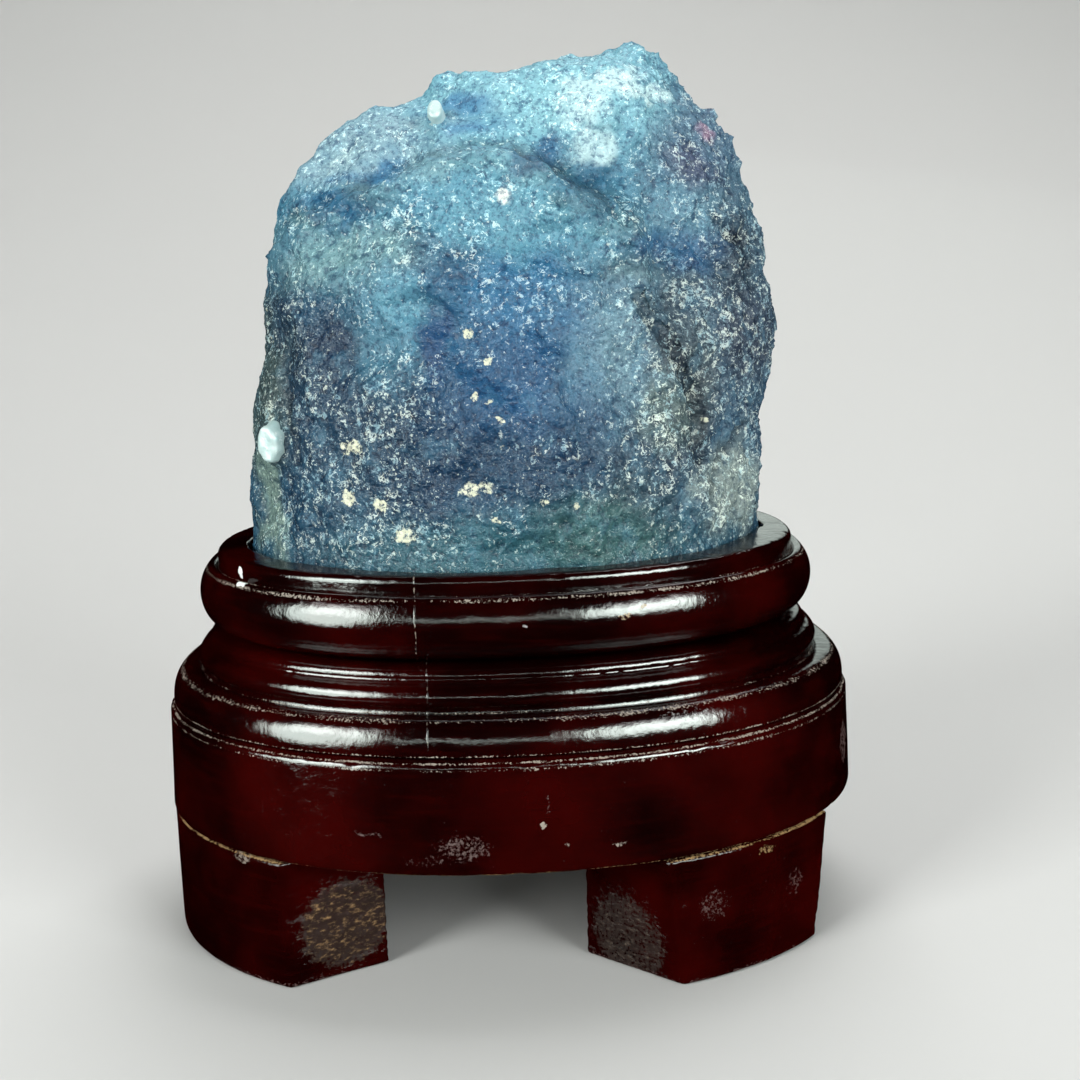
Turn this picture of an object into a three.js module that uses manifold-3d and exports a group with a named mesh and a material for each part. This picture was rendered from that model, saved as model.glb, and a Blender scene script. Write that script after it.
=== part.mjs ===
// A rough blue crystal seated in an oval lacquered wood stand.
// Millimetres, +Z up. The origin is on the table, under the middle of the stand;
// -Y is the front, +X is the right-hand end seen from the front.

import * as THREE from 'three';
import { mergeVertices } from 'three/addons/utils/BufferGeometryUtils.js';
import Module from 'manifold-3d';

const wasm = await Module();
wasm.setup();

// Driving dimensions of the stand
const HALF_LENGTH = 65;         // of the oval band, along X
const HALF_DEPTH = 48.75;       // of the oval band, along Y
const OVAL_POWER = 2.15;        // 2 is an ellipse, more is squarer
const ROUND_STEPS = 56;         // flats round each oval
const GLUE_LINE = 0.3;          // gap left between glued boards

const FOOT_HEIGHT = 23.4;
const FOOT_INSET = 0.2;         // of a foot's outer face behind the band's
const BAND_TOP = 42.9;
const MOULDING_TOP = 56.1;
const TRAY_TOP = 71;
const BAND_LEAN = 0.8;          // the band is this much smaller at its top
const TRAY_EDGE = 11.4;         // inset of the tray's upright edge
const RING_MIDDLE = TRAY_TOP - 8;
const HIGH_BEAD_FOOT = BAND_TOP + 6.8;

// Seat carved in the tray for the crystal
const SEAT_FLOOR = 67;
const SEAT_CLEARANCE = 0.5;     // round the crystal's foot
const SEAT_END_SLACK = 1.4;     // more than that, at the two ends
const REST_GAP = 0.3;           // between the crystal and the seat's floor

// Driving dimensions of the crystal
const CRYSTAL_MIDDLE = new THREE.Vector3(2, -2, 108);
const FRONT_BELLY = 33.5;       // from its middle plane to the front of its foot
const BACK_BELLY = 26;          // and to the back of it
const CREST_HEIGHT = 157;
const FRONT_LEAN = 0.5;         // share of the belly lost between foot and crest
const BACK_LEAN = 0.45;
const PLAN_POWER = 2.1;         // how full its plan is towards the two ends
const PLAN_EDGE = 0.65;         // and how sharply it ends there, 0.5 being an ellipse
const CREST_ROUNDING = 16;      // how far below the outline the faces start to turn over
const SHELF_LOW = 1.8;          // how far the face steps back outside the dome, low down
const SHELF_HIGH = 6.5;         // and above it
const MESH_DETAIL = 16;         // of the icosahedron it is grown from
const CHIP_COUNT = 120;         // small flats broken into its surface
const CHIP_RADIUS = [5, 12];

const DARK_LACQUER = 0x1c0505;
const CLOUDY_BLUE = 0x56789a;

// Oval mouldings

// Bends a turned (lathe) shape of radius HALF_LENGTH - inset into the stand's oval.
function toOval(geometry) {
  const p = geometry.attributes.position;
  for (let i = 0; i < p.count; i++) {
    const radius = Math.hypot(p.getX(i), p.getY(i));
    if (radius < 1e-9) continue;
    const [x, y] = ovalPoint(Math.atan2(p.getY(i), p.getX(i)), HALF_LENGTH - radius);
    p.setXY(i, x, y);
  }
  return geometry;
}

// Point of the oval that lies `inset` inside the band's outline, at a lathe angle.
function ovalPoint(angle, inset) {
  const along = (v) => Math.sign(v) * Math.abs(v) ** (2 / OVAL_POWER);
  const shrink = Math.max(HALF_LENGTH - inset, 0) / HALF_LENGTH;
  const depth = inset > HALF_DEPTH / 2 ? HALF_DEPTH * shrink : HALF_DEPTH - inset;
  return [(HALF_LENGTH - inset) * along(Math.cos(angle)), depth * along(Math.sin(angle))];
}

// Turns a profile of [inset, height] pairs, from the bottom up, into a solid oval board.
function ovalBoard(profile) {
  const inner = [0, profile[0][1]];
  const crown = [0, profile[profile.length - 1][1]];
  const points = [inner, ...profile.map(([inset, z]) => [HALF_LENGTH - inset, z]), crown];
  const turned = new THREE.LatheGeometry(points.map(([r, z]) => new THREE.Vector2(r, z)), ROUND_STEPS);
  turned.rotateX(Math.PI / 2);
  return toSolid(toOval(turned));
}

// Points on part of an ellipse, as [inset, height]; angles in degrees, 0 is the outermost point.
function bulge(inset, height, reach, rise, from, to, steps) {
  const arc = [];
  for (let i = 0; i <= steps; i++) {
    const t = THREE.MathUtils.degToRad(from + ((to - from) * i) / steps);
    arc.push([inset - reach * Math.cos(t), height + rise * Math.sin(t)]);
  }
  return arc;
}

// Closed mesh to boolean solid and back

function toSolid(geometry) {
  const bare = geometry.index ? geometry.toNonIndexed() : geometry.clone();
  bare.deleteAttribute('normal');
  bare.deleteAttribute('uv');
  const merged = mergeVertices(bare, 1e-4);
  const index = [];
  for (let i = 0; i < merged.index.count; i += 3) {
    const [a, b, c] = [0, 1, 2].map((k) => merged.index.getX(i + k));
    if (a !== b && b !== c && c !== a) index.push(a, b, c);
  }
  return new wasm.Manifold(new wasm.Mesh({
    numProp: 3,
    vertProperties: merged.attributes.position.array,
    triVerts: new Uint32Array(index),
  }));
}

function toGeometry(solid) {
  const { vertProperties, triVerts } = solid.getMesh();
  const geometry = new THREE.BufferGeometry();
  geometry.setAttribute('position', new THREE.BufferAttribute(vertProperties, 3));
  geometry.setIndex(new THREE.BufferAttribute(triVerts, 1));
  geometry.computeVertexNormals();
  return geometry;
}

// The crystal's form

// Front outline, [x, z], clockwise from the left end of its foot.
const OUTLINE = [
  [-47.6, 60], [-47.7, 81], [-46.9, 90], [-47, 95], [-45.6, 101.5], [-43.5, 109], [-42.8, 118],
  [-41.3, 128], [-39.6, 134], [-37.7, 138.4], [-33.6, 141], [-29.4, 146.2], [-24.4, 148.6],
  [-14.8, 150.2], [-12.8, 152.8], [-7, 156.4], [0, 156.4], [4, 155.5], [6, 157], [13, 158], [19, 159.8],
  [24.2, 160.4], [28.3, 159], [33, 155.6], [35.4, 151.5], [37.4, 149], [40.3, 148.2], [42.8, 145.2],
  [44.8, 139.5], [46.7, 133.8], [49.8, 127.5], [49.8, 121], [51.9, 113.5], [52.1, 106.5], [50.4, 98.5],
  [48.5, 91], [49.5, 85], [49.5, 78], [48.3, 71], [47, 60],
];

// Outline of the dome that stands proud of the front face, [x, z].
const DOME = [
  [-60, 50], [-60, 120.5], [-42, 123.5], [-33, 129.5], [-21, 133], [-10, 138], [0, 140], [6, 137.5],
  [12, 134], [20, 129], [26, 122], [29, 112.5], [31, 103], [33, 91], [36, 77], [40, 50],
];

// Lumps and hollows on the front: middle x and z, half width, half height, rise.
const FRONT_LUMPS = [
  { name: 'upper right head', at: [24, 149], size: [14, 9], rise: 3 },
  { name: 'left shoulder', at: [-27, 138], size: [12, 7], rise: 2 },
  { name: 'left lump', at: [-28, 118.5], size: [13, 12], rise: 2.2 },
  { name: 'left column', at: [-19, 102.5], size: [7, 18], rise: 1 },
  { name: 'right lump', at: [30, 87], size: [9, 15], rise: 2 },
  { name: 'corner patch', at: [42, 78], size: [9, 10], rise: 2.2 },
  { name: 'right flank', at: [41, 117], size: [9, 13], rise: 2 },
  { name: 'right corner', at: [38, 138], size: [7, 8], rise: 2 },
  { name: 'belly', at: [0, 91], size: [26, 22], rise: 1.2 },
  { name: 'left hollow', at: [-35, 130], size: [8, 5], rise: -1.8 },
  { name: 'crown hollow', at: [3, 146], size: [12, 6], rise: -1.4 },
  { name: 'waist dent', at: [41, 99], size: [8, 7], rise: -1.6 },
];

const BACK_LUMPS = [
  { name: 'back boss', at: [-14, 104], size: [22, 20], rise: 3 },
  { name: 'back shoulder', at: [26, 130], size: [16, 14], rise: 2.5 },
  { name: 'back heel', at: [18, 78], size: [24, 10], rise: 2 },
  { name: 'back scoop', at: [14, 106], size: [15, 16], rise: -3 },
  { name: 'back bite', at: [-30, 132], size: [11, 10], rise: -2.4 },
];

const { smoothstep, lerp, clamp } = THREE.MathUtils;

// Distance from a point to a closed outline, positive inside.
function depthInside(outline, x, z) {
  let nearest = Infinity;
  let inside = false;
  outline.forEach(([ax, az], i) => {
    const [bx, bz] = outline[(i + 1) % outline.length];
    const [dx, dz] = [bx - ax, bz - az];
    const t = clamp(((x - ax) * dx + (z - az) * dz) / (dx * dx + dz * dz), 0, 1);
    nearest = Math.min(nearest, Math.hypot(x - ax - t * dx, z - az - t * dz));
    if (az > z !== bz > z && x < ax + ((z - az) / dz) * dx) inside = !inside;
  });
  return inside ? nearest : -nearest;
}

// Where the outline crosses a line: along 0 for the line x = at, along 1 for z = at.
function crossings(along, at) {
  const found = [];
  OUTLINE.forEach((a, i) => {
    const b = OUTLINE[(i + 1) % OUTLINE.length];
    if (a[along] > at === b[along] > at) return;
    const t = (at - a[along]) / (b[along] - a[along]);
    found.push(lerp(a[1 - along], b[1 - along], t));
  });
  return found;
}

function lumpsAt(lumps, x, z) {
  return lumps.reduce((sum, { at, size, rise }) => {
    const r = Math.hypot((x - at[0]) / size[0], (z - at[1]) / size[1]);
    return sum + rise * (1 - smoothstep(r, 0.25, 1.25));
  }, 0);
}

// Share of the full thickness at (x, z): 1 well inside the outline, 0 on it.
function fullness(x, z) {
  const sides = crossings(1, z);
  const tops = crossings(0, x);
  if (sides.length < 2 || tops.length < 2) return 0;
  const [left, right] = [Math.min(...sides), Math.max(...sides)];
  const across = clamp((2 * x - left - right) / (right - left), -1, 1);
  const below = clamp((Math.max(...tops) - z) / CREST_ROUNDING, 0, 1);
  return (1 - Math.abs(across) ** PLAN_POWER) ** PLAN_EDGE * Math.sqrt(1 - (1 - below) ** 2);
}

// How far the crystal reaches in front of and behind its middle plane at (x, z).
function frontReach(x, z) {
  const height = Math.max((z - TRAY_TOP) / (CREST_HEIGHT - TRAY_TOP), 0);
  const outsideDome = -depthInside(DOME, x, z);
  const shelf = lerp(SHELF_LOW, SHELF_HIGH, smoothstep(z, 100, 132));
  const step = shelf * smoothstep(outsideDome, 0, 4.5);
  const valley = 1.3 * (1 - smoothstep(Math.abs(outsideDome - 6), 0, 5));
  const face = FRONT_BELLY * (1 - FRONT_LEAN * height ** 2) - step - valley;
  return (face + lumpsAt(FRONT_LUMPS, x, z)) * fullness(x, z);
}

function backReach(x, z) {
  const height = Math.max((z - TRAY_TOP) / (CREST_HEIGHT - TRAY_TOP), 0);
  const face = BACK_BELLY * (1 - BACK_LEAN * height ** 2.4);
  return (face + lumpsAt(BACK_LUMPS, x, z)) * fullness(x, z);
}

// Below 0 inside the crystal, above 0 outside it.
function crystalField(p) {
  const inside = depthInside(OUTLINE, p.x, p.z);
  if (inside <= 0) return -inside;
  return p.y < 0 ? -p.y - frontReach(p.x, p.z) : p.y - backReach(p.x, p.z);
}

// Distance from a point inside, along a unit direction, to the crystal's surface.
function reachOf(from, direction) {
  let [near, far] = [0, 2 * HALF_LENGTH];
  const probe = new THREE.Vector3();
  for (let halvings = 0; halvings < 30; halvings++) {
    const half = (near + far) / 2;
    probe.copy(direction).multiplyScalar(half).add(from);
    if (crystalField(probe) < 0) near = half;
    else far = half;
  }
  return near;
}

// A repeatable random sequence, so that each run gives the same stone.
function sequence(seed) {
  let state = seed;
  return () => {
    state = (Math.imul(state, 1664525) + 1013904223) >>> 0;
    return state / 4294967296;
  };
}

// Smooth bumps of about one wavelength, from a few crossed waves.
function ripple(p, wavelength) {
  const k = (2 * Math.PI) / wavelength;
  const a = Math.sin(k * (p.x + 0.37 * p.z) + 1.3 * Math.sin(k * 0.61 * p.y));
  const b = Math.sin(k * (0.83 * p.z - 0.42 * p.y) + 1.7 * Math.sin(k * 0.53 * p.x));
  const c = Math.sin(k * (0.71 * p.y + 0.58 * p.x) + 1.1 * Math.sin(k * 0.67 * p.z));
  return (a * b + b * c + c * a) / 1.5;
}

// Presses small flats into the surface, as broken crystal has.
function chip(points, normals, random) {
  for (let n = 0; n < CHIP_COUNT; n++) {
    const i = Math.floor(random() * points.length);
    const middle = points[i].clone();
    const jitter = () => (random() - 0.5) * 0.45;
    const facing = normals[i].clone().add(new THREE.Vector3(jitter(), jitter(), jitter())).normalize();
    const radius = lerp(...CHIP_RADIUS, random());
    const bite = 0.15 + 0.035 * radius;
    for (const q of points) {
      const away = q.distanceTo(middle);
      if (away > radius) continue;
      const height = facing.dot(q) - facing.dot(middle) + bite;
      if (height > 0) q.addScaledVector(facing, -height * (1 - smoothstep(away, 0.7 * radius, radius)));
    }
  }
}

// The stone as it was found, still whole below the seat.
function roughStone() {
  const ball = new THREE.IcosahedronGeometry(1, MESH_DETAIL);
  ball.deleteAttribute('normal');
  ball.deleteAttribute('uv');
  const merged = mergeVertices(ball, 1e-5);
  const position = merged.attributes.position;
  const points = [];
  for (let i = 0; i < position.count; i++) {
    const direction = new THREE.Vector3().fromBufferAttribute(position, i).normalize();
    const reach = reachOf(CRYSTAL_MIDDLE, direction);
    const point = direction.clone().multiplyScalar(reach).add(CRYSTAL_MIDDLE);
    const swell = 0.55 * ripple(point, 19) + 0.4 * ripple(point, 9);
    points.push(point.addScaledVector(direction, swell));
  }
  position.array.set(points.flatMap((q) => q.toArray()));
  merged.computeVertexNormals();
  const normal = merged.attributes.normal;
  const normals = points.map((_, i) => new THREE.Vector3().fromBufferAttribute(normal, i));
  chip(points, normals, sequence(7));
  position.array.set(points.flatMap((q) => q.toArray()));
  return toSolid(merged);
}

// A short six-sided crystal, grown into the stone at a place on its front.
function smallCrystal({ at, width, height, stand, lean, turn }) {
  const root = 8;
  const prism = new THREE.CylinderGeometry(width * 0.5, width * 0.42, root + stand, 6);
  prism.scale(1, 1, height / width);
  prism.translate(0, (root - stand) / 2, 0);
  prism.rotateX(lean);
  prism.rotateZ(turn);
  prism.translate(at[0], -frontReach(at[0], at[1]), at[1]);
  return toSolid(prism);
}

const PALE_CRYSTALS = [
  { name: 'left pale crystal', at: [-41, 89.5], width: 5.2, height: 7.8, stand: 1.1, lean: 0.05, turn: -0.4 },
  { name: 'top pale crystal', at: [-10.5, 146.3], width: 3.6, height: 5, stand: 1, lean: -0.35, turn: 0 },
];

function makeCrystal() {
  const stone = PALE_CRYSTALS.reduce((whole, pale) => whole.add(smallCrystal(pale)), roughStone());
  const below = new THREE.BoxGeometry(200, 200, 60);
  below.translate(0, 0, SEAT_FLOOR + REST_GAP - 30);
  return stone.subtract(toSolid(below));
}

// The seat's outline: the crystal's widest reach between the seat's floor and the tray's top,
// with room round it.
function seatOutline(crystal) {
  const middle = new THREE.Vector2(1, -3);
  const steps = 60;
  const reach = new Array(steps).fill(0);
  const widen = (x, y) => {
    const spoke = ((Math.atan2(y - middle.y, x - middle.x) / (2 * Math.PI) + 1) % 1) * steps;
    const away = Math.hypot(x - middle.x, y - middle.y);
    for (const k of [Math.floor(spoke) % steps, Math.ceil(spoke) % steps]) {
      reach[k] = Math.max(reach[k], away);
    }
  };
  const { vertProperties, triVerts } = crystal.getMesh();
  const corner = (i) => new THREE.Vector3().fromArray(vertProperties, triVerts[i] * 3);
  for (let i = 0; i < triVerts.length; i++) {
    const [a, b] = [corner(i), corner(i % 3 === 2 ? i - 2 : i + 1)];
    if (a.z <= TRAY_TOP) widen(a.x, a.y);
    if (a.z > TRAY_TOP === b.z > TRAY_TOP) continue;
    const rim = a.clone().lerp(b, (TRAY_TOP - a.z) / (b.z - a.z));
    widen(rim.x, rim.y);
  }
  const points = reach.map((r, i) => {
    const angle = (2 * Math.PI * i) / steps;
    const slack = SEAT_CLEARANCE + SEAT_END_SLACK * Math.abs(Math.cos(angle)) ** 8;
    const out = Math.max(r, reach[(i + 1) % steps], reach[(i + steps - 1) % steps]) + slack;
    return new THREE.Vector2(middle.x + out * Math.cos(angle), middle.y + out * Math.sin(angle));
  });
  return new THREE.Shape(points);
}

// Stand pieces

function makeBand() {
  return ovalBoard([
    [0.4, FOOT_HEIGHT],
    [0, FOOT_HEIGHT + 0.5],
    [BAND_LEAN, BAND_TOP - 1.4],
    [BAND_LEAN + 0.4, BAND_TOP - 0.5],
    [BAND_LEAN + 1.4, BAND_TOP],
  ]);
}

function makeMoulding() {
  const lowBead = bulge(4.7, BAND_TOP + 0.7, 3.2, 5.9, 0, 90, 5);
  const highBead = bulge(11.2, HIGH_BEAD_FOOT, 4.5, 6.2, 0, 86, 5);
  return ovalBoard([[2.1, BAND_TOP + GLUE_LINE], ...lowBead, ...highBead, [11.6, MOULDING_TOP]]);
}

function makeTray(crystal) {
  const ring = bulge(12.8, RING_MIDDLE, 5.2, 6.3, -78, 56, 9);
  const board = ovalBoard([
    [12.6, MOULDING_TOP + GLUE_LINE],
    ...ring,
    [TRAY_EDGE - 0.2, TRAY_TOP - 2.7],
    [TRAY_EDGE, TRAY_TOP - 0.5],
    [TRAY_EDGE + 0.5, TRAY_TOP],
  ]);
  const seat = new THREE.ExtrudeGeometry(seatOutline(crystal), { depth: 20, bevelEnabled: false });
  seat.translate(0, 0, SEAT_FLOOR);
  return board.subtract(toSolid(seat));
}

// Front feet. The outer face follows the band between two oval angles, in degrees, given at the
// top and at the floor. The two inner corners finish a block with straight cut sides.
const FOOT_PLANS = {
  left: { top: [190, 232.6], floor: [190, 233.2], inner: [[-23.5, -31.5], [-45, -11.5]] },
  right: { top: [290.6, 328.5], floor: [292.8, 324.5], inner: [[37.5, -16.5], [11.1, -31.7]] },
};
const FOOT_STEPS = 8;

function footPlan([from, to], inner, side) {
  const edge = [];
  for (let i = 0; i <= FOOT_STEPS; i++) {
    const angle = THREE.MathUtils.degToRad(lerp(from, to, i / FOOT_STEPS));
    edge.push(ovalPoint(angle, FOOT_INSET));
  }
  const plan = [...edge, ...inner].map(([x, y]) => new THREE.Vector2(x, y * side));
  return side < 0 ? plan.reverse() : plan;
}

function makeFoot({ top, floor, inner }, side) {
  const topPlan = footPlan(top, inner, side);
  const floorPlan = footPlan(floor, inner, side);
  const depth = FOOT_HEIGHT - GLUE_LINE;
  const block = new THREE.ExtrudeGeometry(new THREE.Shape(topPlan), { depth, bevelEnabled: false });
  const p = block.attributes.position;
  for (let i = 0; i < p.count; i++) {
    if (p.getZ(i) > depth / 2) continue;
    const here = new THREE.Vector2(p.getX(i), p.getY(i));
    const k = topPlan.findIndex((q) => q.distanceTo(here) < 1e-4);
    p.setXY(i, floorPlan[k].x, floorPlan[k].y);
  }
  return toSolid(block);
}

// The whole object

const object = new THREE.Group();

function addNode(name, solid, color, roughness) {
  const material = new THREE.MeshStandardMaterial({ color, roughness, metalness: 0 });
  const mesh = new THREE.Mesh(toGeometry(solid), material);
  mesh.name = name;
  object.add(mesh);
}

const addWood = (name, solid) => addNode(name, solid, DARK_LACQUER, 0.25);

const crystal = makeCrystal();
addNode('crystal', crystal, CLOUDY_BLUE, 0.5);
addWood('tray', makeTray(crystal));
addWood('moulding', makeMoulding());
addWood('band', makeBand());
for (const [hand, plan] of Object.entries(FOOT_PLANS)) {
  addWood(`foot_front_${hand}`, makeFoot(plan, 1));
  addWood(`foot_back_${hand}`, makeFoot(plan, -1));
}

export default object;
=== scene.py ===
# %% [markdown]
# A rough blue crystal on a lacquered wood stand.
#
# The object is a fist-sized lump of cloudy blue crystal that stands upright in a shallow seat, carved into
# the top of a small oval stand. The stand is glued up from a tray, a stepped moulding, a tall band and four
# block feet, all under one dark red lacquer. The CAD model holds the sizes; this notebook makes the looks.

# %% Load the frame
import math
from functools import partial
import bmesh
import bpy
from mathutils import Matrix, Vector, noise


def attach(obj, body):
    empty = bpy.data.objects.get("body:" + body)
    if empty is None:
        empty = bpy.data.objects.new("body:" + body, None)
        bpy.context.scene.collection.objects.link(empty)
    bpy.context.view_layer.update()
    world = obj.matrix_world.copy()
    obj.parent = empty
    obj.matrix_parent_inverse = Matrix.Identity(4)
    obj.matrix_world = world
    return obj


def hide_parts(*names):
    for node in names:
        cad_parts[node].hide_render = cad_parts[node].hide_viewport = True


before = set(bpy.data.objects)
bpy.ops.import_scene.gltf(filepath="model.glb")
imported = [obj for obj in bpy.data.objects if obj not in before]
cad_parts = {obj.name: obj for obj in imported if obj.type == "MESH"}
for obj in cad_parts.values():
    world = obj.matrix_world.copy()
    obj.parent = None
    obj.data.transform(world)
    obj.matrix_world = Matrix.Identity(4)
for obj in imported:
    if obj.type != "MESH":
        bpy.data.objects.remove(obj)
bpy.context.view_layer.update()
MM = 0.001

# %% [markdown]
# The camera comes first, because everything is judged through it. It stands a little left of the middle,
# about 26 cm in front and 12 cm up, and looks slightly down. It is also tilted a degree and a half about
# its own axis, so the stand leans in the picture as it does for a hand-held camera.

# %% Camera
EYE = Vector((-5.84, -264.80, 123.76)) * MM
PAN = -0.04645
DIP = math.radians(11.667)
ROLL = -0.02662
LENS = 47.373

camera_data = bpy.data.cameras.new("camera")
camera_data.sensor_width = 36
camera_data.lens = LENS
camera_data.clip_start = 10 * MM
camera = bpy.data.objects.new("camera", camera_data)
bpy.context.scene.collection.objects.link(camera)
aim = Matrix.Rotation(PAN, 4, "Z") @ Matrix.Rotation(math.pi / 2 - DIP, 4, "X")
camera.matrix_world = Matrix.Translation(EYE) @ aim @ Matrix.Rotation(ROLL, 4, "Z")
bpy.context.scene.camera = camera
print("camera at", [round(v, 3) for v in EYE])

# %% [markdown]
# Operators act on whatever is selected, and the imported CAD pieces come in selected. So one helper
# clears the selection and picks a single object, and every later step starts with it.

# %% Selection helpers
def pick(piece):
    """Leaves edit mode, and makes one object the only selected and the active one."""
    if bpy.context.mode != "OBJECT":
        bpy.ops.object.mode_set(mode="OBJECT")
    bpy.ops.object.select_all(action="DESELECT")
    piece.select_set(True)
    bpy.context.view_layer.objects.active = piece


def edit(piece, action="SELECT"):
    """Opens one object in edit mode with all of it, or nothing, selected."""
    pick(piece)
    bpy.ops.object.mode_set(mode="EDIT")
    bpy.ops.mesh.select_all(action=action)


def select_faces(piece, test):
    """Selects the faces for which test(centre, normal) holds, and leaves the object in edit mode."""
    edit(piece, "DESELECT")
    bpy.ops.mesh.select_mode(type="FACE")
    mesh = bmesh.from_edit_mesh(piece.data)
    for face in mesh.faces:
        face.select_set(test(face.calc_center_median(), face.normal))
    bmesh.update_edit_mesh(piece.data)


def modify(piece, kind, **settings):
    """Adds a modifier by operator, sets it and applies it."""
    pick(piece)
    bpy.ops.object.modifier_add(type=kind)
    modifier = piece.modifiers[-1]
    for name, value in settings.items():
        setattr(modifier, name, value)
    bpy.ops.object.modifier_apply(modifier=modifier.name)


def extrude_up(rise):
    """Extrudes what is selected by rise mm."""
    bpy.ops.mesh.extrude_region_move(TRANSFORM_OT_translate={"value": (0, 0, rise * MM)})


def close_up(piece, smooth_angle=None):
    """Merges doubles, turns faces outwards and shades the finished piece."""
    edit(piece)
    bpy.ops.mesh.remove_doubles(threshold=0.005 * MM)
    bpy.ops.mesh.normals_make_consistent(inside=False)
    pick(piece)
    if smooth_angle is None:
        bpy.ops.object.shade_smooth()
    else:
        bpy.ops.object.shade_smooth_by_angle(angle=math.radians(smooth_angle))


def push(piece, amount_at):
    """Moves each point along its normal by amount_at(point, normal) mm, with all normals read first."""
    normals = [vert.normal.copy() for vert in piece.data.vertices]
    for vert, normal in zip(piece.data.vertices, normals):
        amount = amount_at(vert.co / MM, normal)
        if amount:
            vert.co += normal * amount * MM


def report(piece):
    """Prints the size and the triangle count of a piece."""
    low = [min(v.co[k] for v in piece.data.vertices) / MM for k in range(3)]
    high = [max(v.co[k] for v in piece.data.vertices) / MM for k in range(3)]
    size = " x ".join(f"{b - a:.1f}" for a, b in zip(low, high))
    triangles = sum(len(p.vertices) - 2 for p in piece.data.polygons)
    print(f"{piece.name}: {size} mm, {triangles} triangles")

# %% [markdown]
# The floor is a plain pale sheet that curves up behind the object, as in a small photo studio, so that no
# horizon cuts the picture. It is one plane: its far edge is extruded upwards and the fold is bevelled. It is
# kept out of the reflections, as black flags beside the object would do, so that the lacquer stays dark.

# %% Floor and backdrop
FLOOR_SIZE = 3.0
BACKDROP_HEIGHT = 1.8
FOLD_RADIUS = 1.3

bpy.ops.object.select_all(action="DESELECT")
bpy.ops.mesh.primitive_plane_add(size=FLOOR_SIZE, location=(0, 0, 0))
floor = bpy.context.object
floor.name = "floor"
bpy.ops.object.mode_set(mode="EDIT")
bpy.ops.mesh.select_mode(type="EDGE")
sheet = bmesh.from_edit_mesh(floor.data)
for edge in sheet.edges:
    edge.select_set(all(v.co.y > 0 for v in edge.verts))
bmesh.update_edit_mesh(floor.data)
bpy.ops.mesh.extrude_region_move(TRANSFORM_OT_translate={"value": (0, 0, BACKDROP_HEIGHT)})
sheet = bmesh.from_edit_mesh(floor.data)
for edge in sheet.edges:
    edge.select_set(all(v.co.y > 0 and v.co.z < 0.01 for v in edge.verts))
bmesh.update_edit_mesh(floor.data)
bpy.ops.mesh.bevel(offset=FOLD_RADIUS, segments=16)
bpy.ops.object.mode_set(mode="OBJECT")
bpy.ops.object.shade_smooth()
floor.visible_glossy = False
print("floor:", len(floor.data.polygons), "faces")

# %% [markdown]
# Lacquer is a dark mirror: it shows the lights themselves. The long soft highlights on the mouldings come
# from two windows, low on the left and on the right of the camera, so two softboxes stand there. A wide
# panel overhead, a little behind, lights the crown of the crystal and keeps the shadows soft. Four cards are
# seen only in the polish, as a photographer's reflectors are, and a dim pale world fills the rest.

# %% Lights
AIM_POINT = Vector((0, 0, 0.08))
CARD_TINT = (0.87, 1.0, 0.93)


def softbox(name, azimuth, elevation, size, watts, tint, shape="RECTANGLE", distance=0.9):
    """A flat light that faces the object; azimuth 0 is straight in front, plus is to the right."""
    data = bpy.data.lights.new(name, "AREA")
    data.shape = shape
    data.size, data.size_y = size
    data.energy = watts
    data.color = tint
    light = bpy.data.objects.new(name, data)
    bpy.context.scene.collection.objects.link(light)
    a, e = math.radians(azimuth), math.radians(elevation)
    away = Vector((math.sin(a) * math.cos(e), -math.cos(a) * math.cos(e), math.sin(e)))
    light.location = AIM_POINT + away * distance
    light.rotation_euler = away.to_track_quat("Z", "Y").to_euler()
    return light


def card(name, azimuth, elevation, size, watts, shape="RECTANGLE"):
    """A reflector card: it is seen in the polish but throws no light of its own."""
    light = softbox(name, azimuth, elevation, size, watts, CARD_TINT, shape)
    light.visible_diffuse = False
    light.visible_transmission = False


softbox("left_window", -50, 24, (0.34, 0.40), 6.5, (0.98, 1.0, 0.98))
softbox("right_window", 40, 20, (0.40, 0.34), 6.0, (0.97, 1.0, 0.99))
softbox("top_panel", 160, 66, (0.9, 0.7), 10.0, (1.0, 1.0, 1.0), distance=1.2)
card("left_card", -51.5, 10, (0.60, 0.66), 27.0, "ELLIPSE")
card("right_card", 34, 12, (0.56, 0.36), 22.0)
card("low_strip", -8, 8, (0.66, 0.022), 1.5)
card("back_card", 165, 14, (0.60, 0.36), 0.7, "ELLIPSE")
world = bpy.data.worlds.new("studio")
world.use_nodes = True
sky = world.node_tree.nodes["Background"].inputs
sky["Color"].default_value = (0.86, 0.92, 1.0, 1)
sky["Strength"].default_value = 0.42
bpy.context.scene.world = world
world.cycles_visibility.glossy = False
bpy.context.scene.view_settings.view_transform = "Standard"

# %% [markdown]
# Each board of the stand is an oval with a moulded edge. In the workshop it is sawn to the oval and then
# run along a shaped cutter. Here a disk is raised ring by ring: each extrusion follows the profile, a list
# of insets and heights, and then the round shape is bent into the oval.

# %% The stand's sizes
HALF_LENGTH = 65.0
HALF_DEPTH = 48.75
OVAL_POWER = 2.15
RING_SIDES = 560
FOOT_TOP = 23.1
BAND_FOOT = 23.4
BAND_TOP = 42.9
MOULDING_FOOT = 43.2
MOULDING_TOP = 56.1
TRAY_FOOT = 56.4
TRAY_TOP = 71.0
SEAT_FLOOR = 67.0


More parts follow.
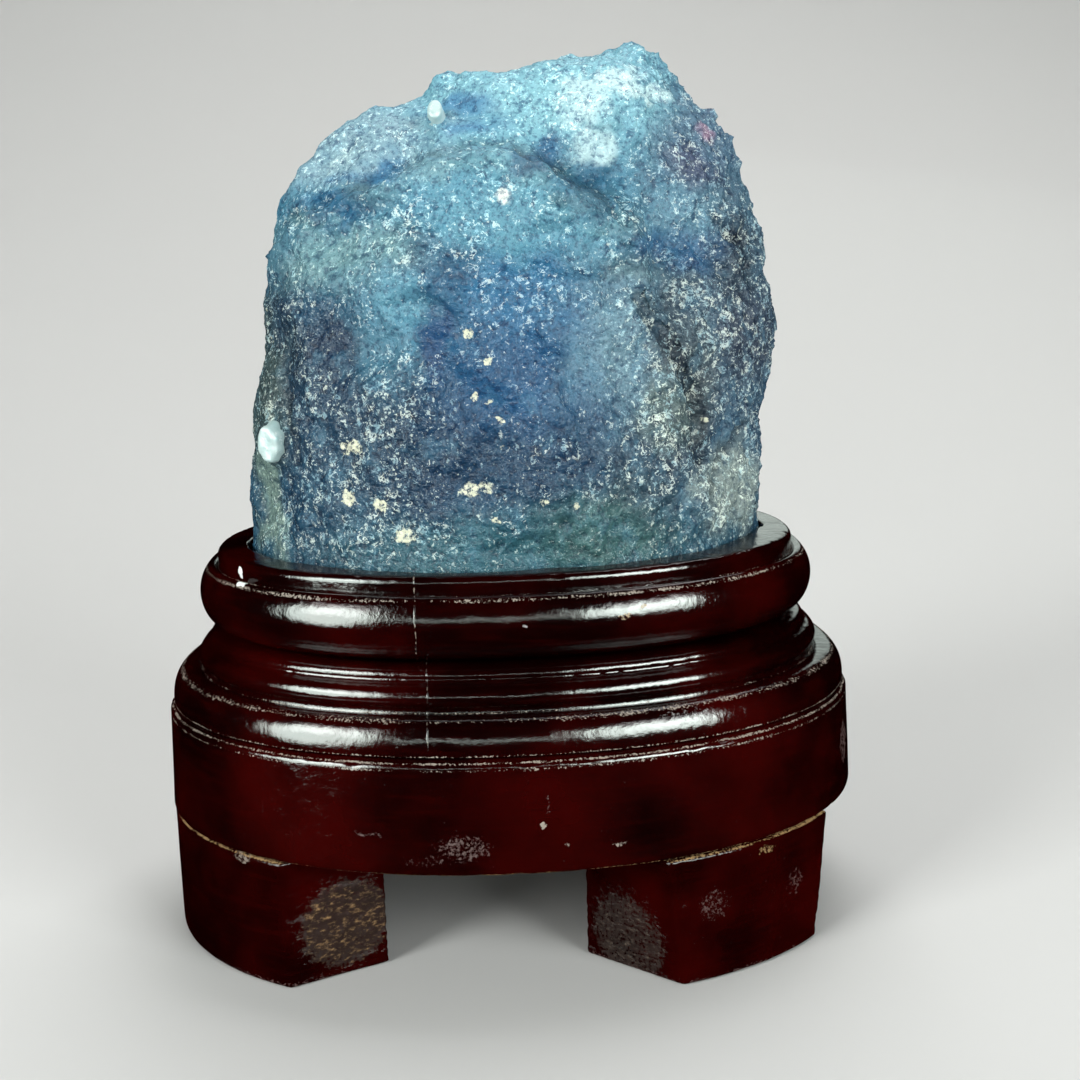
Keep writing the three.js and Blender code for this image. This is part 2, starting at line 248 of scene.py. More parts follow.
def oval_point(angle, inset):
    """Point of the oval that lies inset mm inside the band's outline."""
    def along(v):
        return math.copysign(abs(v) ** (2 / OVAL_POWER), v)
    shrink = max(HALF_LENGTH - inset, 0) / HALF_LENGTH
    depth = HALF_DEPTH * shrink if inset > HALF_DEPTH / 2 else HALF_DEPTH - inset
    return (HALF_LENGTH - inset) * along(math.cos(angle)), depth * along(math.sin(angle))


def bulge(inset, height, reach, rise, start, end, steps):
    """Points on part of an ellipse, as (inset, height); 0 degrees is the outermost point."""
    points = []
    for k in range(steps + 1):
        t = math.radians(start + (end - start) * k / steps)
        points.append((inset - reach * math.cos(t), height + rise * math.sin(t)))
    return points


def straight(start, end, steps):
    """Points between two profile points, without the first."""
    return [tuple(a + (b - a) * k / steps for a, b in zip(start, end)) for k in range(1, steps + 1)]


def raise_board(name, profile):
    """Raises a disk along the profile, then bends it into the stand's oval."""
    inset, height = profile[0]
    bpy.ops.object.select_all(action="DESELECT")
    bpy.ops.mesh.primitive_circle_add(
        vertices=RING_SIDES, radius=(HALF_LENGTH - inset) * MM, fill_type="NGON", location=(0, 0, 0))
    board = bpy.context.object
    board.name = name
    bpy.ops.object.mode_set(mode="EDIT")
    bpy.ops.mesh.select_all(action="SELECT")
    bpy.ops.transform.translate(value=(0, 0, height * MM))
    for (inset, height), (next_inset, next_height) in zip(profile, profile[1:]):
        extrude_up(next_height - height)
        scale = (HALF_LENGTH - next_inset) / (HALF_LENGTH - inset)
        bpy.ops.transform.resize(value=(scale, scale, 1), center_override=(0, 0, next_height * MM))
    pick(board)
    for vert in board.data.vertices:
        x, y = vert.co.x / MM, vert.co.y / MM
        x, y = oval_point(math.atan2(y, x), HALF_LENGTH - math.hypot(x, y))
        vert.co.x, vert.co.y = x * MM, y * MM
    return board

# %% [markdown]
# Hand-scraped wood is never quite true: the highlights on it waver, and its sharp edges have small nicks.
# Both are real shape here. A cloud-textured Displace modifier moves the whole surface by a tenth of a
# millimetre, and points near an edge sink where a noise value is high.

# %% Hand finish
NICK_REACH = 0.9


def hand_finish(board, amount, spacing):
    """Waves the surface by amount mm either way, in waves about spacing mm long."""
    clouds = bpy.data.textures.new(board.name + "_waves", "CLOUDS")
    clouds.noise_scale = spacing * MM
    clouds.noise_depth = 1
    modify(board, "DISPLACE", texture=clouds, texture_coords="LOCAL", strength=2 * amount * MM,
           mid_level=0.5)


def nick_edges(board, heights, depth, spacing):
    """Dents the edges that lie at these heights, here and there, by up to depth mm."""
    def dent(point, normal):
        away = min(abs(point.z - h) for h in heights) / NICK_REACH
        if away > 1:
            return 0
        bite = noise.noise(point / spacing) + 0.5 * noise.noise(point / (0.4 * spacing))
        return -2 * depth * (1 - away) * max(0, min(bite - 0.2, 0.5))
    push(board, dent)

# %% [markdown]
# The band is the plain tall board. Its front is almost flat and its top corner is softened, which gives
# the double line of light there.

# %% Band
BAND_PROFILE = [
    (0.9, BAND_FOOT),
    (0.35, BAND_FOOT + 0.05),
    (0.1, BAND_FOOT + 0.25),
    (0.0, BAND_FOOT + 0.6),
    *straight((0.0, BAND_FOOT + 0.6), (0.75, 40.9), 26),
    *bulge(1.65, 41.4, 0.88, 1.0, 0, 60, 4),
    (1.5, 42.55),
    (1.85, 42.8),
    (2.4, BAND_TOP),
    (3.6, BAND_TOP),
]
band = raise_board("band_board", BAND_PROFILE)
hand_finish(band, 0.09, 14)
nick_edges(band, [42.2], 0.3, 2.6)
nick_edges(band, [BAND_FOOT + 0.3], 0.16, 2.2)
close_up(band, 50)
report(band)

# %% [markdown]
# The moulding has two tiers: a fat bead below, and above it a smaller bead under a rounded shoulder. The
# narrow grooves between them are kept sharp, because thin pale lines show there: worn lacquer, and partly a
# painted highlight.

# %% Moulding
MOULDING_PROFILE = [
    (3.4, MOULDING_FOOT),
    (2.1, MOULDING_FOOT),
    *bulge(4.7, 43.7, 3.2, 5.4, -4, 84, 15),
    (5.4, 49.1),
    (6.3, 49.05),
    (6.85, 48.85),
    (7.05, 48.5),
    (7.25, 48.9),
    *bulge(9.9, 51.3, 3.25, 2.6, -40, 66, 13),
    (9.0, 54.05),
    *bulge(10.7, 54.5, 1.75, 1.45, -8, 80, 8),
    (11.3, 56.05),
    (12.6, MOULDING_TOP),
]
moulding = raise_board("moulding_board", MOULDING_PROFILE)
hand_finish(moulding, 0.1, 11)
nick_edges(moulding, [54.0], 0.18, 2.0)
close_up(moulding, 60)
report(moulding)

# %% [markdown]
# The feet are blocks glued under the band: the outer face follows the oval, and the other sides are sawn
# straight. Only two are in view; the back ones mirror them. Each starts as a disk whose corners are set to
# the plan, is extruded to the foot's height, bevelled, and remeshed finely, so that wear can be carved into
# it. The sawn faces are the roughest.

# %% Feet
FOOT_INSET = 0.2
FOOT_ARC = 20
FOOT_PLANS = {
    "left": {"top": (190, 232.6), "floor": (190, 233.2), "inner": [(-23.5, -31.5), (-45, -11.5)]},
    "right": {"top": (290.6, 328.5), "floor": (292.8, 324.5), "inner": [(37.5, -16.5), (11.1, -31.7)]},
}
FOOT_VOXEL = 0.42
FOOT_BEVEL = 0.5
SAWN_REACH = 1.2
ROUGH_FADE = 1.5
GOUGE_DEPTH = 0.36
WAVE_DEPTH = 0.10


def foot_corners(arc, inner):
    """Corners of a foot's plan: the round outer face, then the two inner corners."""
    start, end = (math.radians(a) for a in arc)
    outer = [oval_point(start + (end - start) * k / FOOT_ARC, FOOT_INSET) for k in range(FOOT_ARC + 1)]
    return [Vector((x * MM, y * MM)) for x, y in [*outer, *inner]]


def outward(plan, k):
    """Outward normal of the plan's side k."""
    side = plan[(k + 1) % len(plan)] - plan[k]
    return Vector((side.y, -side.x)).normalized()


def make_foot(name, plan):
    floor_plan = foot_corners(plan["floor"], plan["inner"])
    top_plan = foot_corners(plan["top"], plan["inner"])
    bpy.ops.object.select_all(action="DESELECT")
    bpy.ops.mesh.primitive_circle_add(vertices=len(floor_plan), radius=10 * MM, fill_type="NGON")
    foot = bpy.context.object
    foot.name = name
    for vert, corner in zip(foot.data.vertices, floor_plan):
        vert.co = (corner.x, corner.y, 0)
    edit(foot)
    extrude_up(FOOT_TOP)
    mesh = bmesh.from_edit_mesh(foot.data)
    for vert in [v for v in mesh.verts if v.select]:
        k = min(range(len(floor_plan)), key=lambda i: (floor_plan[i] - vert.co.xy).length)
        vert.co.x, vert.co.y = top_plan[k]
    for edge in mesh.edges:
        edge.select_set(edge.calc_face_angle(0) > math.radians(25))
    bmesh.update_edit_mesh(foot.data)
    bpy.ops.mesh.bevel(offset=FOOT_BEVEL * MM, segments=2)
    close_up(foot)
    modify(foot, "REMESH", mode="VOXEL", voxel_size=FOOT_VOXEL * MM)
    wear_foot(foot, floor_plan)
    return foot


def wear_foot(foot, plan):
    """Gouges the sawn faces, waves the edges, and keeps the underside and the glued top flat."""
    sawn = [(outward(plan, k), plan[k]) for k in range(FOOT_ARC, len(plan))]
    def wear(point, normal):
        if abs(normal.z) > 0.9:
            return 0
        nearest = min(abs((point.xy * MM - start).dot(side)) for side, start in sawn) / MM
        rough = max(0, 1 - nearest / SAWN_REACH)
        rough *= min(point.z / ROUGH_FADE, 1, max(FOOT_TOP - point.z, 0) / ROUGH_FADE)
        fibres = Vector((point.x, point.y, point.z * 1.6)) / 2.4
        gouge = max(0.5 + 0.6 * noise.fractal(fibres, 0.8, 2.1, 3), 0)
        return -WAVE_DEPTH * noise.noise(point / 7) - GOUGE_DEPTH * rough * gouge
    push(foot, wear)
    pick(foot)
    bpy.ops.object.shade_smooth()


def mirror_foot(foot, name):
    """The back foot: a copy with its own mesh, mirrored through the stand's middle."""
    pick(foot)
    bpy.ops.object.duplicate()
    back = bpy.context.object
    back.name = name
    edit(back)
    bpy.ops.transform.mirror(constraint_axis=(False, True, False), center_override=(0, 0, 0))
    close_up(back)
    return back


feet = {}
for hand, plan in FOOT_PLANS.items():
    feet[f"foot_front_{hand}"] = make_foot(f"foot_front_{hand}_block", plan)
    feet[f"foot_back_{hand}"] = mirror_foot(feet[f"foot_front_{hand}"], f"foot_back_{hand}_block")
for foot in feet.values():
    report(foot)

# %% [markdown]
# The crystal is a natural lump, so it isn't drawn from a primitive: the CAD solid gives its form, and a
# copy of it is merged, remeshed into small even squares and then etched. Rough crystal has relief at every
# size. Broad ridges and cracks come from strokes that sink or lift the points near a line. Chips and pits
# come from Displace modifiers with finer and finer textures.

# %% Crystal body
STONE_VOXEL = 0.62
FRONT_LIMIT = -4
SEAT_GAP = 0.3
SEAT_LIMIT = TRAY_TOP + 1.0

stone = bpy.data.objects.new("crystal_stone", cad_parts["crystal"].data.copy())
bpy.context.scene.collection.objects.link(stone)
stone.data.materials.clear()
edit(stone)
bpy.ops.mesh.remove_doubles(threshold=0.001 * MM)
bpy.ops.mesh.normals_make_consistent(inside=False)
modify(stone, "REMESH", mode="VOXEL", voxel_size=STONE_VOXEL * MM)
modify(stone, "SMOOTH", factor=0.5, iterations=3)
report(stone)

# %% Strokes on the crystal
# Each stroke: name, width, how much it lifts the surface, and its line in the front view.
STROKES = [
    ("arch ledge", 1.8, 1.1, [(-41, 122), (-34, 130), (-21, 133), (-11, 137.3), (-3, 139.4), (2, 138.5),
        (10, 133.5), (16.5, 129.3), (23, 123), (25, 116)]),
    ("arch furrow", 1.8, -0.7, [(-30, 133), (-20, 136.6), (-8, 141.5), (3, 142), (11, 137.5)]),
    ("hollow", 3.6, -0.8, [(12, 135.5), (17, 133.5), (21, 129)]),
    ("second arch", 1.4, 0.8, [(-40, 120), (-34, 126.5), (-20, 129), (-11, 126)]),
    ("shade under", 1.5, -0.8, [(-36, 131), (-28, 131.3), (-22, 130.8)]),
    ("column edge", 1.4, -0.4, [(-13.3, 115), (-13.6, 110), (-14, 104)]),
    ("valley", 2.8, -1.9, [(24.5, 115), (27.5, 109), (31, 104), (34, 97), (34, 89)]),
    ("right lump", 5.5, 1.1, [(28.5, 100), (28, 92)]),
    ("low crack", 0.7, -0.9, [(9, 79.5), (9.6, 77), (10.6, 74.5), (14.8, 71.5)]),
    ("short crack", 0.8, -0.7, [(-1, 75.8), (-3.5, 73.3)]),
    ("patch edge", 1.1, -0.9, [(45, 91), (40, 88), (35.5, 80)]),
    ("notch", 1.4, -0.9, [(4, 140), (7, 136.5), (10, 131)]),
    ("vein", 0.7, 0.7, [(18, 137), (18.6, 133.5), (20.8, 130), (23, 126)]),
    ("left furrow", 1.8, -0.8, [(-37.5, 112), (-38.5, 100), (-37, 88)]),
    ("right shelf", 1.8, -1.1, [(38, 128), (44, 124), (46, 116)]),
]


def distance_to_line(point, line):
    """Distance of a point from a run of straight stretches, both in the front view."""
    nearest = 1e9
    for a, b in zip(line, line[1:]):
        a, b = Vector(a), Vector(b)
        t = max(0, min(1, (point - a).dot(b - a) / (b - a).length_squared))
        nearest = min(nearest, (point - a - t * (b - a)).length)
    return nearest


def carve_strokes(piece):
    """Lifts or sinks the crystal's front along each stroke, and keeps how much in the attribute relief."""
    moves = []
    def stroke_depth(point, normal):
        moves.append(0.0)
        if point.y > FRONT_LIMIT or normal.y > -0.1 or point.z < SEAT_LIMIT:
            return 0
        waver = Vector((noise.noise(point / 3), noise.noise(point / 3 + Vector((7, 0, 0)))))
        place = Vector((point.x, point.z)) + 0.9 * waver
        move = 0.0
        for _, width, rise, line in STROKES:
            away = distance_to_line(place, line) / width
            if away < 2:
                move += rise * math.exp(-2 * away * away)
        moves[-1] = move
        return move
    push(piece, stroke_depth)
    piece.data.attributes.new("relief", "FLOAT", "POINT").data.foreach_set("value", moves)


carve_strokes(stone)
print("strokes carved:", len(STROKES))

# %% Chips and pits
def etch(piece, name, kind, spacing, depth, **settings):
    """Displaces the crystal with a texture, but not its foot, which stands in the seat."""
    texture = bpy.data.textures.new(name, kind)
    texture.noise_scale = spacing * MM
    for key, value in settings.items():
        setattr(texture, key, value)
    modify(piece, "DISPLACE", texture=texture, texture_coords="LOCAL", strength=depth * MM,
           mid_level=0.5, vertex_group="above_seat")


SEAT_FADE = 3
ROUGH_FROM = 12
ROUGH_WITHIN = 16
above = stone.vertex_groups.new(name="above_seat")
for vert in stone.data.vertices:
    share = min(max((vert.co.z / MM - TRAY_TOP + 0.5) / SEAT_FADE, 0), 1)
    rougher = min(max((vert.co.x / MM - ROUGH_FROM) / ROUGH_WITHIN, 0), 1)
    above.add([vert.index], share * (0.6 + 0.4 * rougher), "REPLACE")
etch(stone, "knaps", "VORONOI", 7.0, 2.0, distance_metric="DISTANCE", weight_1=-1.0, weight_2=1.0)
etch(stone, "chips", "VORONOI", 3.2, 0.8, weight_1=1.0)
etch(stone, "etching", "MUSGRAVE", 2.6, 0.5, musgrave_type="RIDGED_MULTIFRACTAL", octaves=3)
etch(stone, "pits", "STUCCI", 1.5, 0.3)
for vert in stone.data.vertices:
    vert.co.z = max(vert.co.z, (SEAT_FLOOR + SEAT_GAP) * MM)
pick(stone)
bpy.ops.object.shade_smooth()
stone.vertex_groups.clear()
report(stone)

# %% [markdown]
# The tray has a fat rounded ring and a low upright edge. The seat for the crystal is one more set of
# rings: the top face is extruded in place, its corners are moved to the outline of the stone's foot, and
# then it goes down to the seat's floor. Carved by hand, its rim is a little uneven.

# %% Tray
TRAY_PROFILE = [
    (14.5, TRAY_FOOT),
    (12.6, TRAY_FOOT),
    *bulge(12.8, 63.0, 5.2, 6.3, -78, 52, 24),
    (9.95, 68.0),
    (10.5, 67.85),
    (10.95, 67.6),
    (11.1, 67.3),
    (11.25, 67.7),
    *straight((11.25, 67.7), (11.25, 69.7), 5),
    *bulge(12.35, 69.75, 1.1, 1.22, 0, 82, 7),
    (12.9, TRAY_TOP),
]
SEAT_MIDDLE = Vector((1.0, -3.0)) * MM
SEAT_RINGS = [(0.9, 0.0), (0.35, 0.0), (0.15, -0.08), (0.05, -0.3), (0.0, -1.2), (0.0, -2.6), (0.0, -4.0)]
SEAT_SPOKES = 180
SEAT_SLACK = 0.25


def foot_reaches():
    """How far the stone's foot reaches from the seat's middle, along each spoke."""
    reaches = [0.0] * SEAT_SPOKES
    for vert in stone.data.vertices:
        if vert.co.z < (TRAY_TOP + 0.4) * MM:
            arm = vert.co.xy - SEAT_MIDDLE
            k = int(math.atan2(arm.y, arm.x) / (2 * math.pi) * SEAT_SPOKES) % SEAT_SPOKES
            reaches[k] = max(reaches[k], arm.length)
    return [max(reaches[k - 1], reaches[k], reaches[(k + 1) % SEAT_SPOKES]) for k in range(SEAT_SPOKES)]


FOOT_REACHES = foot_reaches()


def seat_reach(angle):
    """Distance from the seat's middle to its wall at an angle."""
    spoke = (angle / (2 * math.pi) * SEAT_SPOKES - 0.5) % SEAT_SPOKES
    low = int(spoke) % SEAT_SPOKES
    high = (low + 1) % SEAT_SPOKES
    share = spoke - int(spoke)
    return FOOT_REACHES[low] * (1 - share) + FOOT_REACHES[high] * share + SEAT_SLACK * MM


def carve_seat(board):
    """Adds the seat's rings inside the tray's top face, the one whose centre is on the axis."""
    select_faces(board, lambda centre, normal: centre.z > SEAT_FLOOR * MM and centre.xy.length < MM)
    for widen, height in SEAT_RINGS:
        extrude_up(0)
        mesh = bmesh.from_edit_mesh(board.data)
        for vert in [v for v in mesh.verts if v.select]:
            arm = Vector((vert.co.x, vert.co.y)) - SEAT_MIDDLE
            rough = 0.18 * noise.noise(Vector((arm.x, arm.y, height * MM)) / (2.5 * MM))
            reach = seat_reach(math.atan2(arm.y, arm.x)) + (widen + max(rough, -0.1)) * MM
            arm *= reach / arm.length
            vert.co = Vector((*(SEAT_MIDDLE + arm), (TRAY_TOP + height) * MM))
        bmesh.update_edit_mesh(board.data)
    pick(board)


tray = raise_board("tray_board", TRAY_PROFILE)
hand_finish(tray, 0.1, 12)
nick_edges(tray, [70.8], 0.2, 2.2)
carve_seat(tray)
close_up(tray, 55)
report(tray)

# %% [markdown]
# Two small pale crystals have grown into the front of the lump: a block at the left edge and a smaller bead
# near the top. Each is a short prism, tapered and bevelled, and turned to lie on the stone.

# %% Pale crystals
PALE_CRYSTALS = [
    {"name": "pale_block", "at": (-40.9, 91), "size": (5.6, 8.4), "tilt": 0.05, "turn": -0.5, "stand": 1.4},
    {"name": "pale_bead", "at": (-10, 146.4), "size": (3.5, 4.8), "tilt": -0.5, "turn": -0.1, "stand": 1.3},
]
PALE_SIDES = 8
PALE_TAPER = (0.74, 1, 0.78)
PALE_BEVEL = 0.5
PALE_VOXEL = 0.16
ROOT = 4.0


def front_of(piece, x, z):
    """How far back the front surface of a piece is at (x, z): its y in mm."""
    hit, place, _, _ = piece.ray_cast(Vector((x * MM, -0.2, z * MM)), Vector((0, 1, 0)))
    return place.y / MM if hit else 0.0


def grow_pale(name, at, size, tilt, turn, stand):
    """A tapered prism whose root is sunk into the stone, with stand mm of it in sight."""
    width, height = size
    bpy.ops.object.select_all(action="DESELECT")
    bpy.ops.mesh.primitive_cylinder_add(
        vertices=PALE_SIDES, radius=width / 2 * MM, depth=ROOT * MM, end_fill_type="NGON",
        rotation=(math.pi / 2, math.pi / PALE_SIDES, 0))
    pale = bpy.context.object
    pale.name = name
    bpy.ops.object.transform_apply(location=True, rotation=True, scale=True)
    edit(pale)
    bpy.ops.transform.resize(value=(1, 1, height / width), center_override=(0, 0, 0))
    select_faces(pale, lambda centre, normal: normal.y < -0.9)
    bpy.ops.transform.resize(value=PALE_TAPER, center_override=(0, 0, 0.2 * MM))
    bpy.ops.mesh.select_all(action="SELECT")
    bpy.ops.mesh.bevel(offset=PALE_BEVEL * MM, segments=3)
    bpy.ops.mesh.select_all(action="SELECT")
    bpy.ops.mesh.subdivide(number_cuts=2)
    pick(pale)
    lie = Matrix.Rotation(turn, 4, "Z") @ Matrix.Rotation(tilt, 4, "X")
    place = Vector((at[0], front_of(stone, *at) + ROOT / 2 - stand, at[1])) * MM
    pale.data.transform(Matrix.Translation(place) @ lie)
    modify(pale, "REMESH", mode="VOXEL", voxel_size=PALE_VOXEL * MM)
    push(pale, lambda point, normal: 0.12 * noise.noise(point / 1.6))
    pick(pale)
    bpy.ops.object.shade_smooth()
    report(pale)
    return pale


pale_crystals = [grow_pale(**pale) for pale in PALE_CRYSTALS]

# %% [markdown]
# Materials are small webs of nodes. The helpers always wire into the web that was opened last, so that the
# code below reads like the web itself: one adds a node, a few do sums, one turns a value into a soft-edged
# mask, and one lays a colour over another.

# %% Node helpers
open_webs = []


def feed(made, inputs):
    """Fills a node's inputs: a number or a colour is stored, the output of another node is wired in."""
    for name, value in inputs.items():
        if isinstance(value, bpy.types.NodeSocket):
            made.id_data.links.new(value, made.inputs[name])
        else:
            made.inputs[name].default_value = value
    return made


def node(kind, inputs=None, **settings):
    """Adds a shader node to the open web."""
    made = open_webs[-1].nodes.new("ShaderNode" + kind)
    for name, value in settings.items():
        setattr(made, name, value)
    return feed(made, inputs or {})


def sums(operation, a, b=0.0):
    """One Math node: a, operation, b."""
    return node("Math", {0: a, 1: b}, operation=operation).outputs[0]


plus, minus, times, over = (partial(sums, name) for name in ("ADD", "SUBTRACT", "MULTIPLY", "DIVIDE"))
larger, magnitude = (partial(sums, name) for name in ("MAXIMUM", "ABSOLUTE"))


def soft_step(value, low, high):
    """0 below low, 1 above high, and smooth between them."""
    limits = {"Value": value, "From Min": low, "From Max": high}
    return node("MapRange", limits, interpolation_type="SMOOTHSTEP").outputs["Result"]


def blend(share, a, b, mode="MIX"):
    """Mixes a share of colour b over colour a."""
    mix = node("Mix", data_type="RGBA", blend_type=mode)
    place = {socket.identifier: k for k, socket in enumerate(mix.inputs)}
    feed(mix, {place["Factor_Float"]: share, place["A_Color"]: a, place["B_Color"]: b})
    return next(s for s in mix.outputs if s.identifier == "Result_Color")


def object_place():
    return node("TexCoord").outputs["Object"]


def scaled(place, factor):
    """A place, or any vector, times a factor."""
    return node("VectorMath", {0: place, "Scale": factor}, operation="SCALE").outputs[0]


def noise_at(place, scale, detail, roughness=0.5, output="Fac"):
    return node("TexNoise", {
        "Vector": place, "Scale": scale, "Detail": detail, "Roughness": roughness}).outputs[output]


def cloud(spacing, detail=2.0, stretch=(1, 1, 1), shift=(0, 0, 0), roughness=0.5):
    """Noise in object space with lumps about spacing mm apart; stretch widens them along each axis."""
    scale = [1 / (spacing * MM * s) for s in stretch]
    mapped = node("Mapping", {"Vector": object_place(), "Location": shift, "Scale": scale})
    return noise_at(mapped.outputs["Vector"], 1.0, detail, roughness)


def new_group(name, inputs, outputs):
    """Opens a node group with named inputs and outputs: {name: (kind, default)} and {name: kind}."""
    group = bpy.data.node_groups.new(name, "ShaderNodeTree")
    for label, (kind, default) in inputs.items():
        socket = group.interface.new_socket(label, in_out="INPUT", socket_type="NodeSocket" + kind)
        socket.default_value = default
    for label, kind in outputs.items():
        group.interface.new_socket(label, in_out="OUTPUT", socket_type="NodeSocket" + kind)
    open_webs.append(group)
    print("new group:", name)
    return group, group.nodes.new("NodeGroupInput").outputs, group.nodes.new("NodeGroupOutput")


def spread(given):
    """In a group: the place in units of its Spacing input, moved by its Shift input if it has one."""
    place = object_place()
    if "Shift" in given:
        place = node("VectorMath", {0: place, 1: given["Shift"]}).outputs[0]
    return scaled(place, over(1.0, given["Spacing"]))


def use(group, inputs):
    """Places a node group in the open web with its own values."""
    placed = open_webs[-1].nodes.new("ShaderNodeGroup")
    placed.node_tree = group
    return feed(placed, inputs).outputs


def new_material(name):
    """Opens an empty material: returns it with its node tree and its Principled shader."""
    material = bpy.data.materials.new(name)
    material.use_nodes = True
    open_webs.append(material.node_tree)
    return material, material.node_tree.nodes["Principled BSDF"]

# %% [markdown]
# Five effects are shared. A soft spot is a stain with a centre, a size and a wandering edge. A wear and
# highlight line is a speckled pale stripe at one height: lacquer rubbed off an edge, and in the quirks of
# the tray and the moulding partly a painted highlight. Flecks are the tiny white curls of etched crystal.
# Grains are light dots with dark gaps between. On the blue crystal the light curls and dots are painted
# glints of its etched facets, and the gaps painted shade. Bare wood shows under lost lacquer.

# %% Shared effect: soft spot
soft_spot, given, result = new_group("soft spot", {
    "Place": ("Vector", (0, 0, 0)), "Centre": ("Vector", (0, 0, 0)),
    "Half Size": ("Vector", (0.01, 0.01, 0.01)), "Edge": ("Float", 0.4)}, {"Mask": "Float"})
arm = node("VectorMath", {0: given["Place"], 1: given["Centre"]}, operation="SUBTRACT").outputs[0]
share = node("VectorMath", {0: arm, 1: given["Half Size"]}, operation="DIVIDE").outputs[0]
reach = node("VectorMath", {0: share}, operation="LENGTH").outputs["Value"]
outside = soft_step(reach, minus(1.0, given["Edge"]), plus(1.0, given["Edge"]))
feed(result, {"Mask": minus(1.0, outside)})


def drifted(place, scale, detail, amount):
    """A place pushed about by coloured noise."""
    drift = noise_at(place, scale, detail, output="Color")
    drift = node("VectorMath", {0: drift, 1: (0.5, 0.5, 0.5)}, operation="SUBTRACT").outputs[0]
    return node("VectorMath", {0: place, 1: scaled(drift, amount)}).outputs[0]


def wandering(spacing, amount):
    """Object coordinates pushed about by up to amount mm, in waves about spacing mm long."""
    return drifted(object_place(), 1 / (spacing * MM), 3.0, 4 * amount * MM)


def spot(place, centre, half, edge=0.4):
    """A soft spot seen from a wandering place; its centre and half sizes are in mm."""
    centre, half = ([v * MM for v in sizes] for sizes in (centre, half))
    return use(soft_spot, {"Place": place, "Centre": centre, "Half Size": half, "Edge": edge})["Mask"]

# %% Shared effect: wear and highlight line
# The pale stripe is worn lacquer; in the quirks of the tray and the moulding it is partly painted highlight.
wear_and_highlight_line, given, result = new_group("wear and highlight line", {
    "Height": ("Float", 0.05), "Width": ("Float", 0.0005), "Amount": ("Float", 0.5),
    "Ragged": ("Float", 0.0008)}, {"Mask": "Float"})
level = node("SeparateXYZ", {0: object_place()}).outputs["Z"]
near = minus(1.0, over(magnitude(minus(level, given["Height"])), given["Width"]))
speck = noise_at(object_place(), over(1.0, given["Ragged"]), 3.0, 0.65)
value = plus(times(near, 0.25), times(minus(speck, 0.5), 1.7))
value = plus(value, times(minus(cloud(6.0, 2.0), 0.5), 0.8))
limit = minus(0.34, times(given["Amount"], 0.4))
mask = soft_step(value, limit, plus(limit, 0.14))
feed(result, {"Mask": times(mask, soft_step(near, 0.0, 0.25))})

# %% Shared effect: flecks
flecks, given, result = new_group("flecks", {
    "Spacing": ("Float", 0.001), "Amount": ("Float", 0.5), "Curl": ("Float", 1.0),
    "Thin": ("Float", 0.03), "Shift": ("Vector", (0, 0, 0))}, {"Mask": "Float", "Height": "Float"})
place = spread(given)
field = noise_at(drifted(place, 0.7, 1.0, times(given["Curl"], 2.0)), 1.0, 2.0, 0.6)
off_line = magnitude(minus(field, 0.5))
line = minus(1.0, soft_step(off_line, times(given["Thin"], 0.4), given["Thin"]))
breaks = node("TexNoise", noise_dimensions="4D")
feed(breaks, {"Vector": place, "Scale": 0.8, "Detail": 1.0, "W": 3.7})
limit = minus(0.72, times(given["Amount"], 0.42))
mask = times(line, soft_step(breaks.outputs["Fac"], limit, plus(limit, 0.07)))
feed(result, {"Mask": mask, "Height": plus(times(mask, 0.5), field)})

# %% Shared effect: grains
grains, given, result = new_group(
    "grains",
    {"Spacing": ("Float", 0.001), "Amount": ("Float", 0.3), "Shift": ("Vector", (0, 0, 0))},
    {"Mask": "Float", "Gap": "Float", "Height": "Float"})
value = noise_at(spread(given), 1.0, 3.0, 0.7)
limit = minus(0.70, times(given["Amount"], 0.24))
light = soft_step(value, limit, plus(limit, 0.08))
feed(result, {"Mask": light, "Gap": minus(1.0, soft_step(value, 0.34, 0.50)), "Height": value})

# %% Shared effect: bare wood
bare_wood, given, result = new_group("bare wood", {
    "Dark": ("Color", (0.02, 0.008, 0.005, 1)), "Light": ("Color", (0.2, 0.11, 0.055, 1)),
    "Spacing": ("Float", 0.001)}, {"Color": "Color", "Height": "Float"})
along = node("Mapping", {"Vector": spread(given), "Scale": (0.5, 0.5, 1.0)}).outputs["Vector"]
pore = node("TexVoronoi", {"Vector": along, "Scale": 0.8}).outputs["Distance"]
tone = times(soft_step(noise_at(along, 0.9, 5.0, 0.7), 0.48, 0.72), soft_step(pore, 0.2, 0.7))
feed(result, {"Color": blend(tone, given["Dark"], given["Light"]), "Height": tone})

# %% [markdown]
# The lacquer is nearly black, with a deep red body that shows where it is thin. It is hard and glossy, but
# dusty: fine specks break the edge of every highlight. On it lie pale lines (worn lacquer, and in the quirks
# of the tray and the moulding partly painted highlight), scuffs, chips and the upright glue-up seams, each
# with its own mask. Each board gets its own copy with its own marks.

# %% Lacquer
LACQUER_DARK = (0.0035, 0.0002, 0.0002, 1)
LACQUER_RED = (0.030, 0.0007, 0.0005, 1)
# Pale rubbed lacquer, also used for the painted highlight lines in the quirks.
RUBBED_AND_HIGHLIGHT = (0.34, 0.29, 0.24, 1)
DUST = (0.30, 0.29, 0.29, 1)
SCUFF = (0.13, 0.075, 0.07, 1)
GOLDEN = (0.42, 0.27, 0.12, 1)
YELLOW_WOOD = (0.62, 0.46, 0.10, 1)
WHITE_CHIP = (0.85, 0.90, 0.88, 1)
SEAM_CORE = 0.03 * MM
SEAM_WIDTH = 0.14 * MM
SEAM_FRONT = -0.02
BUMP_UNIT = 0.05 * MM


